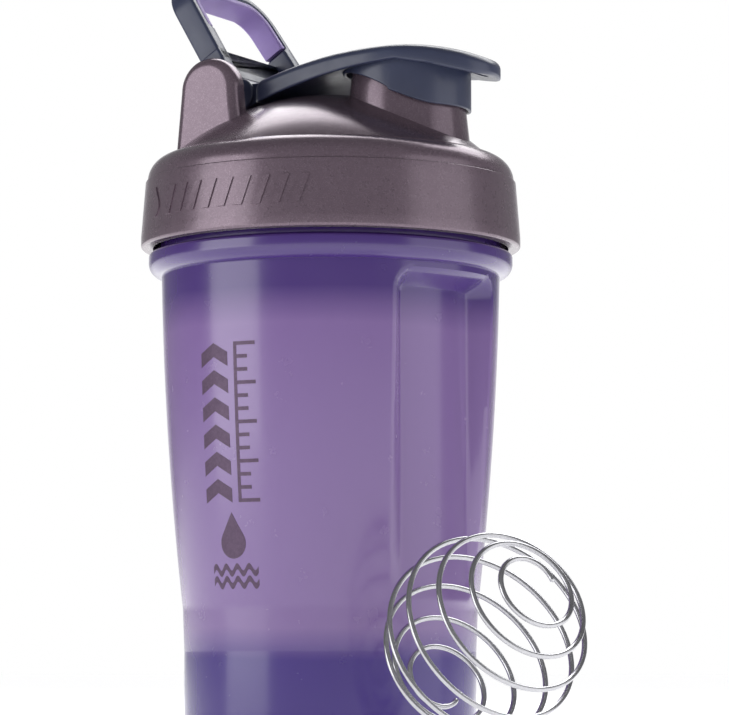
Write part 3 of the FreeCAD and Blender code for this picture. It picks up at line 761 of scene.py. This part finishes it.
def make_loop():
    path = loop_path()
    body = Solid()

    def leg_depth(up):
        """Thick legs up to the liner's foot, then the thin band that holds the liner."""
        return LEG_DEPTH - (LEG_DEPTH - BAND_DEPTH) * smooth_share((up - LINER_FOOT) / 0.8)

    strap(body, path, 0.0, leg_depth, STRAP_HALF, 0.75)
    front, back = FORWARD + STRAP_HALF, FORWARD - STRAP_HALF
    ear = [(EAR_RADIUS * math.cos(math.radians(turn)), EAR_RADIUS * math.sin(math.radians(turn)))
           for turn in range(180, 361, 10)]
    ear += [(front, 6.0), (front, EAR_TOP), (back, EAR_TOP)]
    for side in (-1, 1):
        body.plate(ear, 17.7, 22.4, (0.7, 0.7), lambda u, v, w: from_pin(u, side * w, v))
    web = softened([(-17.9, 5.4), (17.9, 5.4), (17.9, 14.2), (17.6, 8.4, 6.0), (-17.6, 8.4, 6.0),
                    (-17.9, 14.2)], closed=True)
    body.plate(web, -2.0, 1.0, (0.4, 0.4), lambda u, v, w: from_pin(w, u, v))
    piece("loop_shell", body.mesh("loop_shell"), "loop", SLATE, ["loop_frame"], crease=40)

    lining = Solid()
    strap(lining, [spot for spot in path if spot[0].y >= 16.6], 2.4, lambda up: 2.0, 3.05, 0.55)
    piece("loop_lining", lining.mesh("loop_lining"), "loop", LINER, ["loop_liner"], crease=40)


# ---------------------------------------------------------------- whisk ball

def make_ball():
    """One wire wound on a sphere from pole to pole, its turns closer together near the poles."""
    wire, reach, turns, ease = 0.65, 23.25, 7.85, 0.2 / (2 * math.pi)
    first, first_spin = math.radians(14), math.radians(-173.9)
    centre = Vector((63.3, -37.4, 23.6))
    pole = Vector((0.76, -0.40, 0.5)).normalized()
    across = pole.cross(Vector((0, 0, 1))).normalized()
    beside = pole.cross(across)
    steps = round(turns * 96)
    line = []
    for step in range(steps + 1):
        share = step / steps
        tilt = first + (math.pi - 2 * first) * (share - ease * math.sin(2 * math.pi * share))
        spin = first_spin + 2 * math.pi * turns * share
        level = across * math.cos(spin) + beside * math.sin(spin)
        line.append(level * math.sin(tilt) + pole * math.cos(tilt))
    rows = []
    for index, out in enumerate(line):
        along = (line[min(index + 1, steps)] - line[max(index - 1, 0)]).normalized()
        side = along.cross(out).normalized()
        from_end = min(index, steps - index) / 2
        thick = wire * math.sqrt(max(0.04, 1 - max(0.0, 1 - from_end) ** 2))
        rows.append([centre + out * (reach + thick * math.cos(turn)) + side * (thick * math.sin(turn))
                     for turn in [math.pi * part / 7 for part in range(14)]])
    ball = Solid().grid(rows, close_columns=True, caps=True)
    piece("whisk_wire", ball.mesh("whisk_wire"), "ball", WIRE, ["whisk_ball"], crease=60)


# ---------------------------------------------------------------- print and raised marks

def flare_radius(height):
    """Radius of the cup's wall at a height of the flare."""
    (low_radius, low), (high_radius, high), bow = FLARE
    share = (height - low) / (high - low)
    chord = math.hypot(high_radius - low_radius, high - low)
    bulge = share * (1 - share) * chord ** 2 / (2 * bow)
    return low_radius + (high_radius - low_radius) * share + bulge


def ring_radius(height):
    """Radius of the lid's ring at a height above its bead."""
    share = (height - RING_FOOT[1]) / (RING_TOP[1] - RING_FOOT[1])
    return RING_FOOT[0] + (RING_TOP[0] - RING_FOOT[0]) * share


def drop_rows(arc, foot, width, height):
    """Rows of a water drop, point up, that stands at (arc, foot): a circle under two tangents to its tip."""
    radius, thinnest, half_steps = width / 2, 0.05, 24
    middle = foot + radius
    tip = foot + height
    lean = math.asin(radius / (tip - middle))
    rows = []
    for step in range(-half_steps, half_steps + 1):
        across = radius * math.sin(math.pi / 2 * step / half_steps)
        reach = math.sqrt(max(0.0, radius ** 2 - across ** 2))
        low = middle - reach
        on_tangent = abs(across) < radius * math.cos(lean)
        high = tip - abs(across) / math.tan(lean) if on_tangent else middle + reach
        rows.append([(arc + across, low), (arc + across, max(high, low + thinnest))])
    return rows


def band_rows(points, height):
    """Rows of a band of an even height over (arc, foot) points."""
    return [[(arc, foot), (arc, foot + height)] for arc, foot in points]


def make_print():
    """Chevrons beside a tick scale, over a drop and two waves."""
    ink = Solid()
    azimuth, under, over = math.radians(-95.5), 0.05, 0.06
    low, high = 56.0, 95.0
    tall = high - low

    def lay(rows):
        ink.film(rows, flare_radius, azimuth, under, over)

    chevrons, thick, half, middle = 6, 3.4, 4.4, -5.3
    droop = half * 0.55
    pitch = (tall - thick - droop) / (chevrons - 1)
    for index in range(chevrons):
        peak = low + droop + pitch * index
        spread = [(middle + half * step / 8, peak - droop * abs(step) / 8) for step in range(-8, 9)]
        lay(band_rows(spread, thick))

    spine_left, spine_right = 1.0, 1.9
    lay([[(spine_left, low + tall * step / 30), (spine_right, low + tall * step / 30)] for step in range(31)])
    ticks, long_tick, short_tick, tick_height = 13, 5.2, 3.0, 0.9
    for index in range(ticks):
        reach = long_tick if index % 3 == 0 else short_tick
        foot = low + (tall - tick_height) * index / (ticks - 1)
        lay(band_rows([(spine_right + reach * step / 6, foot) for step in range(7)], tick_height))

    emblem, wave_half, swell = -1.4, 7.0, 0.9
    lay(drop_rows(emblem, 42.4, 7.6, 11.2))
    for foot in (38.9, 35.9):
        lay(band_rows([(emblem + wave_half * step / 20, foot + swell * math.sin(step * math.pi / 5))
                       for step in range(-20, 21)], 1.5))
    piece("cup_print", ink.mesh("cup_print"), "cup", INK, crease=40)


def make_ring_marks():
    """Raised drop and a row of slanted bars on the lid's ring."""
    marks = Solid()
    azimuth, under, over = math.radians(-96), 0.3, 0.32
    low, high, slant = 127.6, 134.6, 2.2
    marks.film(drop_rows(-25.0, low, 5.4, high - low + 0.6), ring_radius, azimuth, under, over)
    bars, first, pitch, width = 9, -19.0, 4.9, 2.3
    for index in range(bars):
        rows = []
        for step in range(7):
            left, height = first + pitch * index + slant * step / 6, low + (high - low) * step / 6
            rows.append([(left, height), (left + width, height)])
        marks.film(rows, ring_radius, azimuth, under, over)
    shown = piece("ring_marks", marks.mesh("ring_marks"), "lid", LID, crease=40)
    soften = shown.modifiers.new("edges", "BEVEL")
    soften.width = 0.16 * MM
    soften.segments = 2
    soften.limit_method = "ANGLE"


make_cup()
make_print()
make_lid()
make_ring_marks()
make_cap()
make_loop()
make_ball()


# ---------------------------------------------------------------- studio

def floor():
    mesh = bpy.data.meshes.new("floor")
    half = 40.0
    corners = [(-half, -half, 0), (half, -half, 0), (half, half, 0), (-half, half, 0)]
    mesh.from_pydata(corners, [], [(0, 1, 2, 3)])
    plane = bpy.data.objects.new("floor", mesh)
    scene.collection.objects.link(plane)
    shader = Shader("floor_paper")
    paper = (0.78, 0.78, 0.78)
    shader.wire("Base_Color", shader.ramp(shader.noise(6, 3), (0.3, tinted(paper, 0.985)), (0.7, paper)))
    shader.set(Roughness=0.7, Specular_IOR_Level=0.2, Emission_Color=(1, 1, 1, 1), Emission_Strength=0.8)
    mesh.materials.append(shader.material)


def softbox(name, position, aim, width, height, brightness):
    """Rectangular light seen at an even brightness, which doesn't change with its size or distance."""
    light = bpy.data.lights.new(name, "AREA")
    light.shape = "RECTANGLE"
    light.size = width
    light.size_y = height
    light.energy = brightness * math.pi * width * height
    lamp = bpy.data.objects.new(name, light)
    lamp.location = position
    lamp.rotation_mode = "QUATERNION"
    lamp.rotation_quaternion = (aim - position).to_track_quat("-Z", "Y")
    lamp.visible_camera = False
    scene.collection.objects.link(lamp)


def studio_world(toward):
    """Bright straight behind the object, dim beside and in front of it, and plain white to the camera."""
    glow = ((0.015, 0.8), (0.05, 0.24), (0.5, 0.15), (0.8, 0.28))
    world = bpy.data.worlds.new("studio")
    world.use_nodes = True
    scene.world = world
    tree = world.node_tree
    background = tree.nodes["Background"]
    place = tree.nodes.new("ShaderNodeTexCoord")
    dot = tree.nodes.new("ShaderNodeVectorMath")
    dot.operation = "DOT_PRODUCT"
    dot.inputs[1].default_value = toward
    tree.links.new(place.outputs["Generated"], dot.inputs[0])
    spread = tree.nodes.new("ShaderNodeMapRange")
    spread.inputs["From Min"].default_value = -1.0
    tree.links.new(dot.outputs["Value"], spread.inputs["Value"])
    ramp = tree.nodes.new("ShaderNodeValToRGB")
    stops = ramp.color_ramp.elements
    while len(stops) < len(glow):
        stops.new(0.5)
    for stop, (position, light) in zip(stops, glow):
        stop.position = position
        stop.color = (light, light, light * 1.02, 1)
    tree.links.new(spread.outputs["Result"], ramp.inputs["Fac"])
    path = tree.nodes.new("ShaderNodeLightPath")
    pick = tree.nodes.new("ShaderNodeMix")
    pick.data_type = "RGBA"
    colours = [socket for socket in pick.inputs if socket.type == "RGBA"]
    colours[1].default_value = (1, 1, 1, 1)
    tree.links.new(path.outputs["Is Camera Ray"], pick.inputs["Factor"])
    tree.links.new(ramp.outputs["Color"], colours[0])
    result = next(socket for socket in pick.outputs if socket.type == "RGBA")
    tree.links.new(result, background.inputs["Color"])


def camera(toward, across):
    """Long lens a little above the floor, tilted up at the bottle."""
    distance, height, aside = 0.8416, 0.01467, 0.00075
    pitch, yaw, lens = 0.0945, 0.0093, 164.5
    data = bpy.data.cameras.new("camera")
    data.sensor_width = 36.0
    data.lens = lens
    data.clip_start, data.clip_end = 0.05, 100.0
    shot = bpy.data.objects.new("camera", data)
    ahead = -toward
    level = ahead * math.cos(yaw) + across * math.sin(yaw)
    view = level * math.cos(pitch) + Vector((0, 0, math.sin(pitch)))
    shot.location = toward * distance + across * aside + Vector((0, 0, height))
    shot.rotation_mode = "QUATERNION"
    shot.rotation_quaternion = view.to_track_quat("-Z", "Y")
    scene.collection.objects.link(shot)
    scene.camera = shot


CAMERA_TURN = math.radians(30)
TOWARD = Vector((math.sin(CAMERA_TURN), -math.cos(CAMERA_TURN), 0))
ACROSS = Vector((-TOWARD.y, TOWARD.x, 0))
MIDDLE = Vector((0, 0, 0.1))


def around(turn, distance):
    """Place at a turn about the object from the camera's side, in degrees, at the object's middle height."""
    turn = math.radians(turn)
    return (TOWARD * math.cos(turn) + ACROSS * math.sin(turn)) * distance + MIDDLE


floor()
studio_world(TOWARD)
camera(TOWARD, ACROSS)
softbox("key", around(-68, 1.2), MIDDLE, 0.85, 1.2, 2.3)
softbox("fill", around(72, 1.4), MIDDLE, 1.2, 1.3, 0.9)
softbox("top", TOWARD * -0.75 + ACROSS * 0.3 + Vector((0, 0, 1.1)), MIDDLE, 1.5, 0.8, 3.4)
scene.view_settings.view_transform = "Standard"
